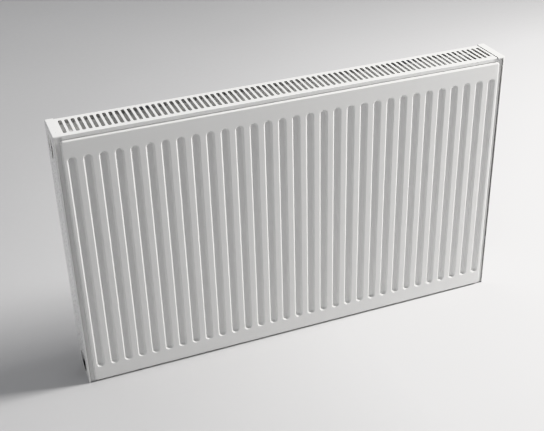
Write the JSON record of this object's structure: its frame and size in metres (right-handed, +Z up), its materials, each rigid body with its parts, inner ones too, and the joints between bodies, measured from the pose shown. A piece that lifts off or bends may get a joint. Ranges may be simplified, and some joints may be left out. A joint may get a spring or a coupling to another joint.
{
  "type": "panel radiator with valve",
  "caption": "White pressed steel panel radiator with vertical grooves, lift-off top grille, side covers, built-in valve with hand cap and air vent.",
  "frame": {"origin": "bottom centre of the overall box, on the floor that the welded seams stand on", "axes": "+Z up, front face towards -Y, valve end towards +X"},
  "size_m": [1.012, 0.1, 0.6],
  "materials": {
    "panel_paint": "smooth gloss stoved white enamel",
    "convector_paint": "thin white enamel over folded sheet",
    "pipework_paint": "white enamel over welded fittings",
    "cover_paint": "smooth gloss white powder coat",
    "spring_steel": "zinc-plated spring steel",
    "plug_plate": "bright nickel plate",
    "valve_brass": "turned brass",
    "stainless": "turned stainless steel",
    "seal_rubber": "black rubber",
    "cap_plastic": "white moulded plastic",
    "vent_plastic": "white moulded plastic",
    "preset_plastic": "dark grey moulded plastic"
  },
  "bodies": {
    "radiator": {"front_panel_face_sheet": "panel_paint", "front_panel_back_sheet": "panel_paint", "rear_panel_front_sheet": "panel_paint", "rear_panel_back_sheet": "panel_paint", "front_convector": "convector_paint", "rear_convector": "convector_paint", "top_left_tee": "pipework_paint", "bottom_left_tee": "pipework_paint", "top_right_tee": "pipework_paint", "bottom_right_tee": "pipework_paint", "flow_connection": "pipework_paint", "return_connection": "pipework_paint", "riser_pipe": "pipework_paint", "wall_hanging_lugs": "panel_paint", "blanking_plugs": "plug_plate", "blanking_plug_seals": "seal_rubber", "air_vent_body": "plug_plate", "air_vent_seal": "seal_rubber", "valve_insert_body": "valve_brass", "valve_insert_seal": "seal_rubber", "valve_nose_seal": "seal_rubber", "valve_gland": "valve_brass", "valve_stem_seal": "seal_rubber", "valve_spring": "stainless", "hand_cap_collar": "cap_plastic"},
    "grille": {"top_grille": "cover_paint", "grille_clips": "spring_steel"},
    "left_cover": {"left_side_cover": "cover_paint", "left_cover_clips": "spring_steel"},
    "right_cover": {"right_side_cover": "cover_paint", "right_cover_clips": "spring_steel"},
    "hand_knob": {"hand_cap_knob": "cap_plastic"},
    "knob_plunger": {"hand_cap_plunger": "vent_plastic"},
    "spindle": {"valve_spindle": "stainless", "valve_disc_seal": "seal_rubber"},
    "presetting_dial": {"presetting_ring": "preset_plastic"},
    "bleed_key_screw": {"bleed_screw": "stainless"},
    "vent_spout": {"air_vent_spout": "vent_plastic"}
  },
  "joints": [
    {"name": "grille_lift", "type": "slide", "parent": "radiator", "child": "grille", "axis": [0, 0, 1], "range_m": [0, 0.05]},
    {"name": "left_cover_pull", "type": "slide", "parent": "radiator", "child": "left_cover", "axis": [-1, 0, 0], "range_m": [0, 0.06]},
    {"name": "right_cover_pull", "type": "slide", "parent": "radiator", "child": "right_cover", "axis": [1, 0, 0], "range_m": [0, 0.06]},
    {"name": "cap_turn", "type": "hinge", "parent": "radiator", "child": "hand_knob", "pos_m": [0.494, -0.004, 0.5605], "axis": [1, 0, 0], "range_deg": [-552, 0]},
    {"name": "plunger_travel", "type": "slide", "parent": "radiator", "child": "knob_plunger", "axis": [1, 0, 0], "range_m": [-0.00231, 0]},
    {"name": "spindle_travel", "type": "slide", "parent": "radiator", "child": "spindle", "axis": [1, 0, 0], "range_m": [-0.00231, 0], "deforming": ["valve_spring"]},
    {"name": "presetting_turn", "type": "hinge", "parent": "radiator", "child": "presetting_dial", "pos_m": [0.494, -0.004, 0.5605], "axis": [1, 0, 0], "range_deg": [0, 315]},
    {"name": "bleed_screw_turn", "type": "hinge", "parent": "radiator", "child": "bleed_key_screw", "pos_m": [-0.496, -0.004, 0.5605], "axis": [-1, 0, 0], "range_deg": [0, 360]},
    {"name": "spout_swivel", "type": "hinge", "parent": "radiator", "child": "vent_spout", "pos_m": [-0.496, -0.004, 0.5605], "axis": [1, 0, 0], "continuous": true}
  ],
  "couplings": [
    {"joint": "plunger_travel", "follows": "cap_turn", "m_per_rad": 0.00023873},
    {"joint": "spindle_travel", "follows": "cap_turn", "m_per_rad": 0.00023873}
  ]
}
